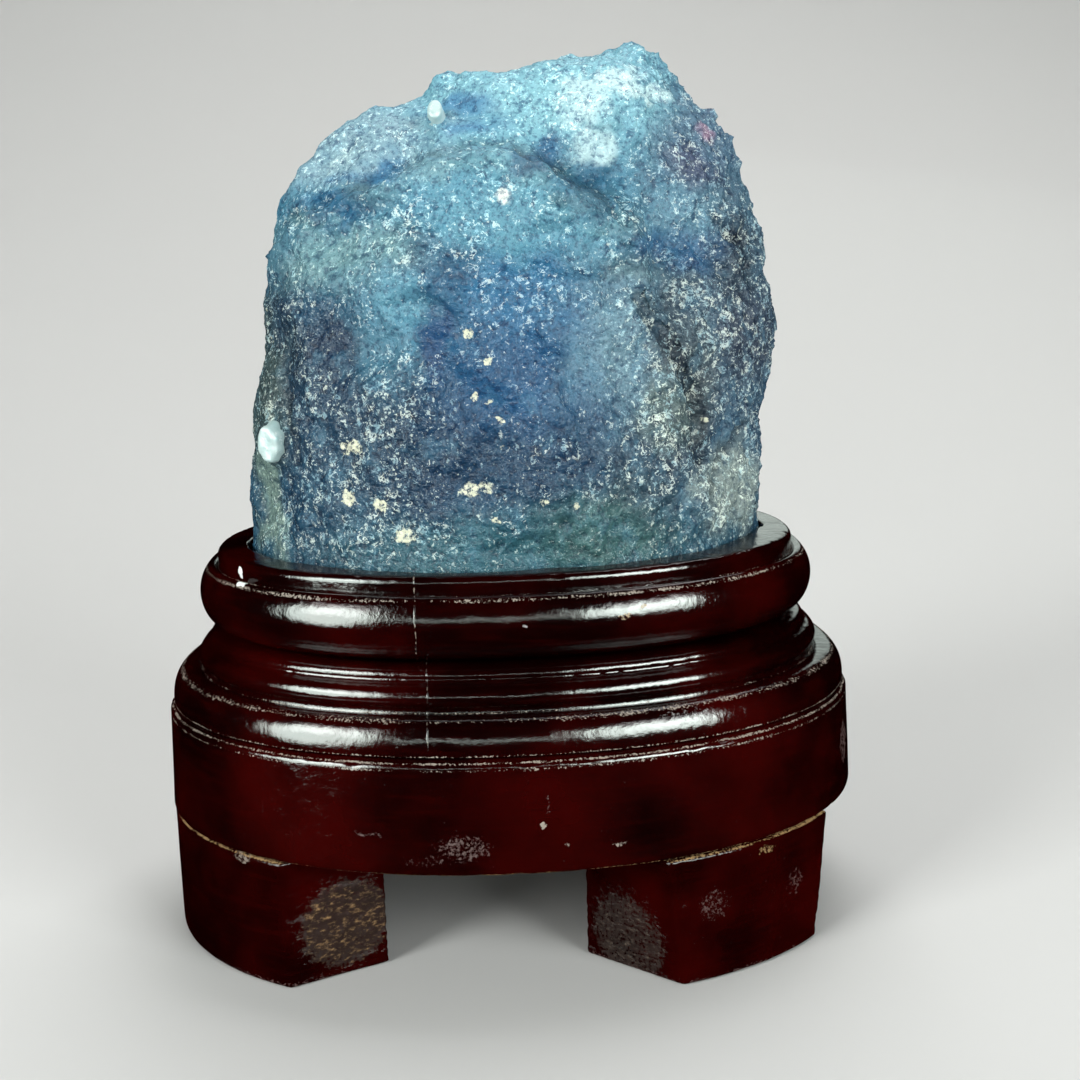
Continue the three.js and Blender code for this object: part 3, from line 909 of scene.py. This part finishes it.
def lacquer(name, lines=(), marks=(), seam=None, bare=(), red=0.35, gloss=0.3):
    """Lacquered wood.

    lines are (height, width, amount, colour), marks and bare are (centre, half sizes, colour, amount) and
    a seam is (x, strength). Places and sizes are in mm.
    """
    material, shader = new_material(name)
    colour = blend(soft_step(cloud(22, 3.0), 0.62 - red, 1.05 - red), LACQUER_DARK, LACQUER_RED)
    grain = soft_step(cloud(1.1, 3.0, stretch=(9, 9, 1)), 0.45, 0.75)
    colour = blend(times(grain, 0.25), colour, LACQUER_RED)
    dust = use(grains, {"Spacing": 0.42 * MM, "Amount": 0.12})["Mask"]
    dust = times(dust, soft_step(cloud(7, 2.0, shift=(3, 1, 4)), 0.46, 0.66))
    colour = blend(times(dust, 0.12), colour, DUST)
    wear_and_highlight = raw = height = 0.0
    # Pale lines: worn lacquer, and in the quirks partly painted highlight; their masks also raise the
    # roughness.
    for level, width, amount, tint in lines:
        mask = use(wear_and_highlight_line, {
            "Height": level * MM, "Width": width * MM, "Amount": amount, "Ragged": 0.38 * MM})["Mask"]
        colour = blend(times(mask, 0.75), colour, tint)
        wear_and_highlight = larger(wear_and_highlight, mask)
    place = wandering(1.6, 0.5)
    speckle = cloud(0.62, 3.0, roughness=0.7)
    for centre, half, tint, amount in marks:
        ragged = times(spot(place, centre, half, 0.6), plus(speckle, 0.5 * amount))
        mask = soft_step(ragged, 0.72, 0.92)
        colour = blend(times(mask, min(0.95, 0.4 + 0.5 * amount)), colour, tint)
        wear_and_highlight = larger(wear_and_highlight, mask)
    for centre, half, light, amount in bare:
        wood = use(bare_wood, {"Light": light, "Spacing": 0.62 * MM})
        near = spot(place, centre, half, 0.35)
        mask = soft_step(times(near, plus(speckle, amount)), 0.40, 0.74)
        colour = blend(mask, colour, wood["Color"])
        raw = larger(raw, mask)
        height = plus(height, times(times(wood["Height"], near), 1.6))
    if seam:
        seam_at, strength = seam
        across = node("SeparateXYZ", {0: wandering(4.0, 0.12)}).outputs
        off = magnitude(minus(across["X"], seam_at * MM))
        crack = minus(1.0, soft_step(off, SEAM_CORE, SEAM_WIDTH))
        crack = times(crack, soft_step(across["Y"], SEAM_FRONT, SEAM_FRONT - 0.005))
        pale = times(crack, soft_step(cloud(0.9, 2.0), 0.50, 0.62))
        colour = blend(times(pale, strength), colour, RUBBED_AND_HIGHLIGHT)
        height = minus(height, crack)
    rough = plus(0.05, times(cloud(1.3, 3.0), 0.08))
    for mask, more in ((dust, 0.3), (wear_and_highlight, 0.5), (raw, 0.9)):
        rough = plus(rough, times(mask, more))
    height = plus(height, plus(times(cloud(3.2, 2.0), 2.4), times(speckle, 0.8)))
    bump = node("Bump", {"Height": height, "Strength": 1.0, "Distance": BUMP_UNIT})
    feed(shader, {
        "Base Color": colour, "Roughness": rough, "Normal": bump.outputs["Normal"], "IOR": 1.5,
        "Specular IOR Level": gloss})
    print("lacquer:", name)
    return material

# %% Stand materials
band.data.materials.append(lacquer(
    "band_lacquer",
    lines=[(42.3, 0.2, 0.45, RUBBED_AND_HIGHLIGHT), (23.55, 0.2, 0.35, GOLDEN), (41.3, 0.35, 0.14, RUBBED_AND_HIGHLIGHT)],
    marks=[
        ((-9.5, -48, 28.2), (7, 6, 3.6), SCUFF, 0.55),
        ((-15.5, -48, 26.0), (7, 6, 1.6), SCUFF, 0.42),
        ((3.4, -48.4, 31.8), (0.8, 3, 0.8), RUBBED_AND_HIGHLIGHT, 0.8),
        ((4.4, -48.2, 35.0), (0.4, 3, 3.0), SCUFF, 0.5),
        ((7.4, -48.3, 28.1), (0.8, 3, 0.8), RUBBED_AND_HIGHLIGHT, 0.5),
        ((16.4, -47.4, 27.5), (2.2, 3, 0.6), RUBBED_AND_HIGHLIGHT, 0.48),
        ((-25.5, -45.3, 30.3), (4.5, 3, 0.6), SCUFF, 0.5),
        ((60.5, -18, 33), (2.5, 6, 6), SCUFF, 0.6),
    ], red=0.29))
# The pale line at 48.65 mm, in the quirk, is partly painted highlight.
moulding.data.materials.append(lacquer(
    "moulding_lacquer", lines=[(48.65, 0.42, 0.24, RUBBED_AND_HIGHLIGHT), (43.35, 0.3, 0.3, RUBBED_AND_HIGHLIGHT)],
    marks=[((28.5, -42.3, 47.6), (10, 5, 1.0), DUST, 0.45)], seam=(-14.7, 0.3), red=0.24))
# The pale line at 67.4 mm, in the quirk, is partly painted highlight.
tray.data.materials.append(lacquer(
    "tray_lacquer", lines=[(67.4, 0.36, 0.26, RUBBED_AND_HIGHLIGHT)],
    marks=[
        ((-46.0, 2.0, 71.0), (1.2, 8.0, 1.0), YELLOW_WOOD, 1.2),
        ((47.0, -1.0, 71.0), (2.0, 4.0, 1.0), YELLOW_WOOD, 1.2),
        ((-47.0, -19.5, 69.4), (0.6, 1.2, 1.1), WHITE_CHIP, 1.5),
        ((-46.4, -22.4, 68.0), (1.0, 1.4, 1.0), WHITE_CHIP, 1.8),
        ((18.3, -39.4, 64.0), (1.9, 2, 0.9), GOLDEN, 0.6),
        ((21.2, -38.5, 65.1), (1.6, 2, 0.7), GOLDEN, 0.6),
        ((2.0, -40.0, 63.5), (0.8, 2, 0.5), DUST, 0.9),
    ], seam=(-16.2, 0.75), red=0.24))
FOOT_BARE = {
    "left": ((-29.5, -36.5, 9.5), (9.8, 9, 9.0), (0.34, 0.20, 0.09, 1), 0.2),
    "right": ((18.5, -37.5, 6.0), (8.5, 9, 9.5), (0.13, 0.095, 0.07, 1), 0.08),
}
FOOT_MARKS = [
    ((48.3, -34.1, 13.2), (3, 4, 4), SCUFF, 0.5),
    ((32.5, -43.1, 13.8), (5, 4, 4.5), SCUFF, 0.5),
    ((41.9, -38.5, 21.3), (4, 3, 1.2), GOLDEN, 0.6),
    ((-47.7, -34.3, 22.4), (4, 3, 1.2), RUBBED_AND_HIGHLIGHT, 0.6),
]
for node_name, foot in feet.items():
    hand = "left" if "left" in node_name else "right"
    (x, y, z), half, light, amount = FOOT_BARE[hand]
    side = -1 if "back" in node_name else 1
    foot.data.materials.append(lacquer(
        node_name + "_lacquer", lines=[(22.95, 0.2, 0.6, GOLDEN), (0.3, 0.8, 0.25, SCUFF)],
        marks=FOOT_MARKS if side > 0 else FOOT_MARKS[:1],
        bare=[((x, y * side, z), half, light, amount)], red=0.3, gloss=0.1))

# %% [markdown]
# Inside, the crystal is cloudy blue, and no two places match: navy in the belly, paler and greener to the
# top and the foot, purple-grey on the right. These colours are soft stains, laid over each other as glazes,
# but some glazes are painted light and shade: the upper half and the crown are partly painted lighter by the
# light from above, and the shade patches and the hollow above the arch ledges are painted shade. They change
# slowly, so they are painted on the stone's points, as with a vertex paint brush, and kept in a colour
# attribute. What is finer than the points, such as the white flecks, which are painted glints, is left to
# the nodes.

# %% Crystal colours
DEEP = (0.016, 0.058, 0.120, 1)
NAVY = (0.006, 0.030, 0.076, 1)
INDIGO = (0.007, 0.026, 0.058, 1)
MID_BLUE = (0.020, 0.095, 0.215, 1)
CYAN = (0.13, 0.40, 0.54, 1)
PALE = (0.29, 0.58, 0.66, 1)
CHALK = (0.62, 0.86, 0.88, 1)
OLIVE = (0.16, 0.22, 0.15, 1)
TEAL = (0.035, 0.125, 0.155, 1)
PURPLE = (0.060, 0.062, 0.125, 1)
SLATE = (0.026, 0.042, 0.062, 1)
GREY_GREEN = (0.07, 0.10, 0.085, 1)
HAZE = (0.03, 0.12, 0.20, 1)

# Each glaze: name, centre x and z, half width and height, colour, strength, softness.
GLAZES = [
    # The upper half and the crown are partly painted light: lighter towards the top for the light from
    # above, over the crystal's own paler colour.
    ("upper half", (0, 150), (60, 24), CYAN, 0.75, 0.7),
    ("crown", (10, 150), (26, 11), PALE, 0.75, 0.6),
    ("left shoulder", (-27, 142), (16, 7), (0.34, 0.50, 0.56, 1), 0.7, 0.6),
    ("right mass", (40, 112), (16, 38), (0.075, 0.130, 0.180, 1), 0.85, 0.5),
    ("right crown", (36, 142), (9, 9), (0.11, 0.19, 0.28, 1), 0.7, 0.5),
    ("right cyan", (31, 129), (7, 5), (0.15, 0.32, 0.42, 1), 0.75, 0.6),
    ("right blue", (32, 123), (8, 4.5), (0.03, 0.12, 0.26, 1), 0.8, 0.5),
    ("belly", (-3, 94), (22, 14), NAVY, 0.85, 0.7),
    ("low left", (-28, 90), (16, 18), INDIGO, 0.6, 0.6),
    ("left indigo", (-27, 107), (7, 5), (0.005, 0.024, 0.062, 1), 0.95, 0.6),
    ("far left", (-38, 109), (5, 12), SLATE, 0.55, 0.6),
    ("middle", (6, 104), (17, 11), MID_BLUE, 0.8, 0.6),
    ("upper middle", (2, 116), (14, 7), (0.03, 0.15, 0.30, 1), 0.75, 0.7),
    ("dome cyan", (4, 129), (15, 7), (0.15, 0.38, 0.48, 1), 0.7, 0.6),
    ("dark dome", (-12, 122), (8, 5), (0.012, 0.065, 0.14, 1), 0.8, 0.5),
    ("left lump", (-27, 123), (12, 6), (0.20, 0.37, 0.39, 1), 0.8, 0.6),
    ("left column", (-20, 111), (6, 9), (0.10, 0.27, 0.37, 1), 0.7, 0.6),
    ("cleaved face", (-16.5, 115), (3.8, 3.4), (0.13, 0.34, 0.44, 1), 0.7, 0.45),
    ("wedge", (-11.8, 109), (2.6, 6), (0.010, 0.055, 0.15, 1), 0.9, 0.35),
    ("centre right", (19, 107), (8, 13), (0.19, 0.33, 0.39, 1), 0.75, 0.7),
    ("foot", (2, 72), (34, 7), TEAL, 0.85, 0.6),
    ("green foot", (17, 78), (13, 6), (0.055, 0.135, 0.130, 1), 0.85, 0.5),
    ("valley", (31, 101), (5, 14), (0.080, 0.110, 0.125, 1), 0.8, 0.6),
    ("right lump", (27, 95), (5, 6), (0.11, 0.16, 0.15, 1), 0.7, 0.5),
    ("low middle right", (24, 86), (8, 6), (0.035, 0.060, 0.085, 1), 0.7, 0.6),
    ("right dark", (42, 121), (5, 7), SLATE, 0.8, 0.5),
    ("right purple", (44, 108), (6, 9), (0.045, 0.052, 0.080, 1), 0.7, 0.6),
    ("right smooth", (39.5, 91), (3.5, 2.5), (0.05, 0.12, 0.19, 1), 0.8, 0.4),
    ("low right patch", (40.5, 81), (7, 8.5), (0.30, 0.37, 0.34, 1), 0.85, 0.35),
    ("left edge", (-44, 97), (5, 20), GREY_GREEN, 0.75, 0.6),
    ("left strip", (-41.5, 80), (3.2, 9), (0.20, 0.30, 0.26, 1), 0.85, 0.4),
    # Shades A to D and the hollow are painted shade: darker blue above the arch ledges and in the hollow.
    ("shade A", (-3, 146), (6, 2.6), (0.05, 0.20, 0.40, 1), 0.75, 0.5),
    ("shade B", (-21, 137), (5, 2.4), (0.04, 0.20, 0.40, 1), 0.8, 0.5),
    ("shade C", (-28, 131), (7, 2.6), (0.02, 0.12, 0.24, 1), 0.85, 0.4),
    ("shade D", (6, 139.5), (4.5, 2.8), (0.03, 0.12, 0.25, 1), 0.85, 0.45),
    ("hollow", (15.5, 134), (6, 4.5), (0.04, 0.15, 0.26, 1), 0.8, 0.6),
    ("purple spots", (35, 136.5), (6, 3), PURPLE, 0.7, 0.6),
]
# The same for the chalky marks, which are on the front only; the shoulder rim among them is painted rim
# light.
CHALKS_AND_RIM_LIGHT = [
    ("crown chalk", (22, 151.5), (4, 2.2), CHALK, 0.9, 0.3),
    ("crown step", (27, 149), (4.4, 1.3), CHALK, 0.9, 0.25),
    ("middle chalk", (15, 148), (4.5, 4), CHALK, 0.8, 0.35),
    ("low chalk", (17, 140), (4, 3), CHALK, 0.85, 0.35),
    ("left chalk", (6, 148), (7, 3.5), PALE, 0.7, 0.5),
    ("blush", (38, 143), (1.6, 2.0), (0.50, 0.28, 0.38, 1), 0.6, 0.5),
    ("arch white", (1.3, 132.4), (1.0, 0.9), (0.90, 0.92, 0.84, 1), 0.9, 0.3),
    # Painted rim light along the left shoulder.
    ("shoulder rim light", (-30, 140), (5, 2), CHALK, 0.5, 0.5),
]
# The middle line of the olive arch, and the cream specks: x, z and radius.
ARCH = [(-34, 130), (-21, 133), (-11, 137), (-3, 139), (6, 136), (14, 131), (20, 127), (23, 120)]
CREAM_SPECKS = [
    (-6, 110, 0.8), (-2.9, 105.4, 0.7), (-1.1, 96.2, 0.7), (-2.7, 98.7, 0.5), (-5.1, 99.9, 0.5),
    (-26.2, 91.3, 1.5), (-27, 82.9, 1.3), (-21.5, 81.8, 1.1), (-6.4, 84.6, 1.6), (-3.5, 84.9, 1.2),
    (-17.5, 76.6, 1.6), (5.8, 82.4, 0.9), (10.8, 81.3, 0.8), (-2.5, 79.6, 0.7), (-0.9, 91.7, 0.6),
    (43.6, 125.3, 0.8), (47, 112.4, 0.8), (26.8, 120.7, 0.7), (34.8, 93.6, 0.8),
]
# Rough zones have more flecks and smooth ones fewer: centre x and z, half width and height, how many more.
ZONES = [
    ((-30, 88), (16, 20), 0.10), ((38, 108), (15, 36), 0.14), ((-6, 94), (12, 10), -0.08),
    ((24, 88), (10, 8), 0.06), ((-27, 107), (6, 5), -0.12), ((-24, 82), (12, 6), 0.06),
    ((-10, 111), (5, 7), -0.16), ((8, 102), (11, 8), -0.08), ((-17, 114), (3.5, 3.5), -0.25),
    ((17, 78), (11, 4.5), -0.20), ((15.5, 134), (6, 4), -0.30), ((-28, 131), (7, 2.4), -0.16),
    ((6, 139.5), (4, 2.6), -0.16), ((-3, 146), (6, 2.6), -0.16), ((32, 123), (8, 4), -0.12),
    ((39.5, 91), (3.5, 2.5), -0.25), ((-16, 126), (10, 4), 0.18), ((-20, 100), (12, 5), 0.10),
    ((0, 73), (30, 4), -0.10),
]

print("glazes listed:", len(GLAZES) + len(CHALKS_AND_RIM_LIGHT))

# %% Painting the glazes
GLAZE_SEED = 8
BASE_DENSITY = 0.25


def soft_patch_share(x, z, centre, half, edge):
    """How much of a soft patch covers the place (x, z), from 0 to 1."""
    reach = math.hypot((x - centre[0]) / half[0], (z - centre[1]) / half[1])
    share = min(max((1 + edge - reach) / (2 * edge), 0), 1)
    return share * share * (3 - 2 * share)


def lay(colour, tint, share):
    """Lays a share of one colour over another."""
    return [a + (b - a) * share for a, b in zip(colour, tint)]


def paint_points(piece):
    """Paints the glazes, some of them painted light and shade, on the points, with the fleck density in the
    attribute dense.
    """
    colours, densities = [], []
    for vert in piece.data.vertices:
        point = vert.co / MM
        wide = point + 3.6 * noise.turbulence_vector(point / 9, 3, False)
        fine = point + 1.6 * noise.turbulence_vector(point / 2.6, 2, False)
        colour = lay(DEEP, HAZE, min(max(0.5 + 0.9 * noise.noise(point / 17), 0), 1))
        for _, centre, half, tint, strength, edge in GLAZES:
            colour = lay(colour, tint, strength * soft_patch_share(wide.x, wide.z, centre, half, edge))
        if point.y < FRONT_LIMIT:
            for centre in ARCH:
                colour = lay(colour, OLIVE, 0.22 * soft_patch_share(fine.x, fine.z, centre, (5.5, 2.2), 0.6))
            for _, centre, half, tint, strength, edge in CHALKS_AND_RIM_LIGHT:
                colour = lay(colour, tint, strength * soft_patch_share(fine.x, fine.z, centre, half, edge))
        density = BASE_DENSITY + 0.22 * noise.fractal(point / 8, 0.8, 2.0, 2)
        density += 0.20 * noise.noise(point / 2.4)
        for centre, half, more in ZONES:
            density += more * soft_patch_share(wide.x, wide.z, centre, half, 0.6)
        colours.extend(colour)
        densities.append(density)
    piece.data.color_attributes.new("glaze", "FLOAT_COLOR", "POINT").data.foreach_set("color", colours)
    piece.data.attributes.new("dense", "FLOAT", "POINT").data.foreach_set("value", densities)


noise.seed_set(GLAZE_SEED)
paint_points(stone)
print("points painted:", len(stone.data.vertices))

# %% [markdown]
# The etched surface is peppered all over: fine grains, coarser ones, a few bold cream ones and thin curls,
# with dark gaps between them. The light grains and curls are painted glints of the etched facets, and the
# gaps are painted shade between them; the grooves of the strokes are painted darker as shade too. One number
# on the points says how dense they are, because the right-hand mass is rougher than the smooth cleaved
# spots.
# A little light goes through the body and loses its red there.

# %% Crystal flecks
GLINT_WHITE = (0.70, 0.76, 0.66, 1)
GLINT_TEAL = (0.24, 0.37, 0.40, 1)
CREAM = (0.74, 0.76, 0.58, 1)
# The colour of the painted shade in the sunk grooves.
GROOVE_SHADE = (0.003, 0.007, 0.020, 1)
GAP_SHADE = (0.16, 0.24, 0.36, 1)
WISP = (0.13, 0.33, 0.46, 1)
SPECK_Y = -26
SPECK_DEPTH = 14
CRYSTAL_BUMP = 0.7 * MM


def crystal_material():
    material, shader = new_material("cloudy_crystal")
    colour = node("Attribute", attribute_name="glaze").outputs["Color"]
    relief = node("Attribute", attribute_name="relief").outputs["Fac"]
    dense = node("Attribute", attribute_name="dense").outputs["Fac"]
    wisps = soft_step(cloud(4.5, 4.0, stretch=(1, 1, 1.5), roughness=0.6), 0.5, 0.72)
    colour = blend(times(wisps, 0.3), colour, WISP)
    # Where the strokes sink the surface, the colour is painted darker: painted shade in the grooves.
    sunk_shade = soft_step(times(relief, -1.0), 0.15, 1.2)
    colour = blend(times(sunk_shade, 0.6), colour, GROOVE_SHADE)
    rough_zone = soft_step(dense, 0.0, 0.6)
    many, few = plus(times(dense, 0.6), 0.28), minus(dense, 0.40)
    fine = use(grains, {"Spacing": 0.78 * MM, "Amount": many, "Shift": (1, 2, 3)})
    coarse = use(grains, {"Spacing": 1.3 * MM, "Amount": dense})
    bold = use(grains, {"Spacing": 2.4 * MM, "Amount": few, "Shift": (3, 1, 2)})
    curls = use(flecks, {
        "Spacing": 1.15 * MM, "Amount": plus(dense, 0.08), "Curl": 1.2, "Thin": 0.05, "Shift": (4, 1, 2)})
    # The dark gaps between the grains are painted shade.
    gap_shade = larger(coarse["Gap"], times(fine["Gap"], 0.8))
    gap_shade = times(gap_shade, plus(0.75, times(rough_zone, 0.20)))
    colour = blend(gap_shade, colour, GAP_SHADE, mode="MULTIPLY")
    # The light grains and curls are painted glints: the colour is raised by a pale tint there.
    tint = blend(soft_step(cloud(1.9, 2.0, shift=(2, 9, 4)), 0.38, 0.6), GLINT_TEAL, GLINT_WHITE)
    light = larger(times(fine["Mask"], 0.85), times(coarse["Mask"], 0.8))
    light = larger(light, times(curls["Mask"], 0.9))
    light = times(light, plus(0.6, times(rough_zone, 0.4)))
    colour = blend(light, colour, blend(1.0, tint, colour, mode="ADD"))
    colour = blend(times(bold["Mask"], 0.7), colour, CREAM)
    near = wandering(2.0, 0.6)
    for x, z, radius in CREAM_SPECKS:
        size = (1.5 * radius, SPECK_DEPTH, 1.25 * radius)
        ragged = times(spot(near, (x, SPECK_Y, z), size, 0.6), fine["Height"])
        colour = blend(soft_step(ragged, 0.34, 0.52), colour, CREAM)
    bump = node("Bump", {"Height": coarse["Height"], "Strength": 1.0, "Distance": CRYSTAL_BUMP})
    feed(shader, {
        "Base Color": colour, "Roughness": plus(0.25, times(light, 0.3)), "Normal": bump.outputs["Normal"],
        "IOR": 1.57, "Specular IOR Level": 0.07, "Transmission Weight": 0.09})
    water = node("VolumeAbsorption", {"Color": (0.10, 0.55, 0.85, 1), "Density": 120.0})
    feed(material.node_tree.nodes["Material Output"], {"Volume": water.outputs[0]})
    print("crystal material:", len(material.node_tree.nodes), "nodes")
    return material


stone.data.materials.append(crystal_material())

# %% Pale crystal material
def pale_material():
    material, shader = new_material("pale_crystal")
    tone = soft_step(cloud(2.2, 3.0), 0.35, 0.7)
    colour = blend(tone, (0.36, 0.52, 0.52, 1), (0.54, 0.67, 0.66, 1))
    small = use(flecks, {"Spacing": 0.9 * MM, "Amount": 0.35, "Curl": 1.0, "Thin": 0.05})
    colour = blend(times(small["Mask"], 0.4), colour, (0.95, 0.98, 0.95, 1))
    bump = node("Bump", {"Height": small["Height"], "Strength": 0.6, "Distance": 0.1 * MM})
    feed(shader, {
        "Base Color": colour, "Normal": bump.outputs["Normal"], "Roughness": 0.35, "IOR": 1.57,
        "Subsurface Weight": 0.2, "Subsurface Radius": (0.8, 1.0, 1.0), "Subsurface Scale": 1.5 * MM})
    return material


pale_finish = pale_material()
for pale in pale_crystals:
    pale.data.materials.append(pale_finish)
print("pale crystals painted:", len(pale_crystals))

# %% [markdown]
# Last, each finished piece takes its CAD node's place and rides on the object's one body.

# %% Put the pieces in the frame
PIECES = [
    (stone, "crystal", "crystal"),
    *[(pale, "crystal", "crystal") for pale in pale_crystals],
    (tray, "tray", "lacquered_wood"),
    (moulding, "moulding", "lacquered_wood"),
    (band, "band", "lacquered_wood"),
    *[(foot, node_name, "lacquered_wood") for node_name, foot in feet.items()],
]
for piece, node_name, finish in PIECES:
    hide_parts(node_name)
    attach(piece, "root")
pale_floor, shader = new_material("pale_floor")
feed(shader, {"Base Color": (0.60, 0.60, 0.59, 1), "Roughness": 0.75, "Specular IOR Level": 0.2})
floor.data.materials.append(pale_floor)
print("pieces:", len(PIECES))
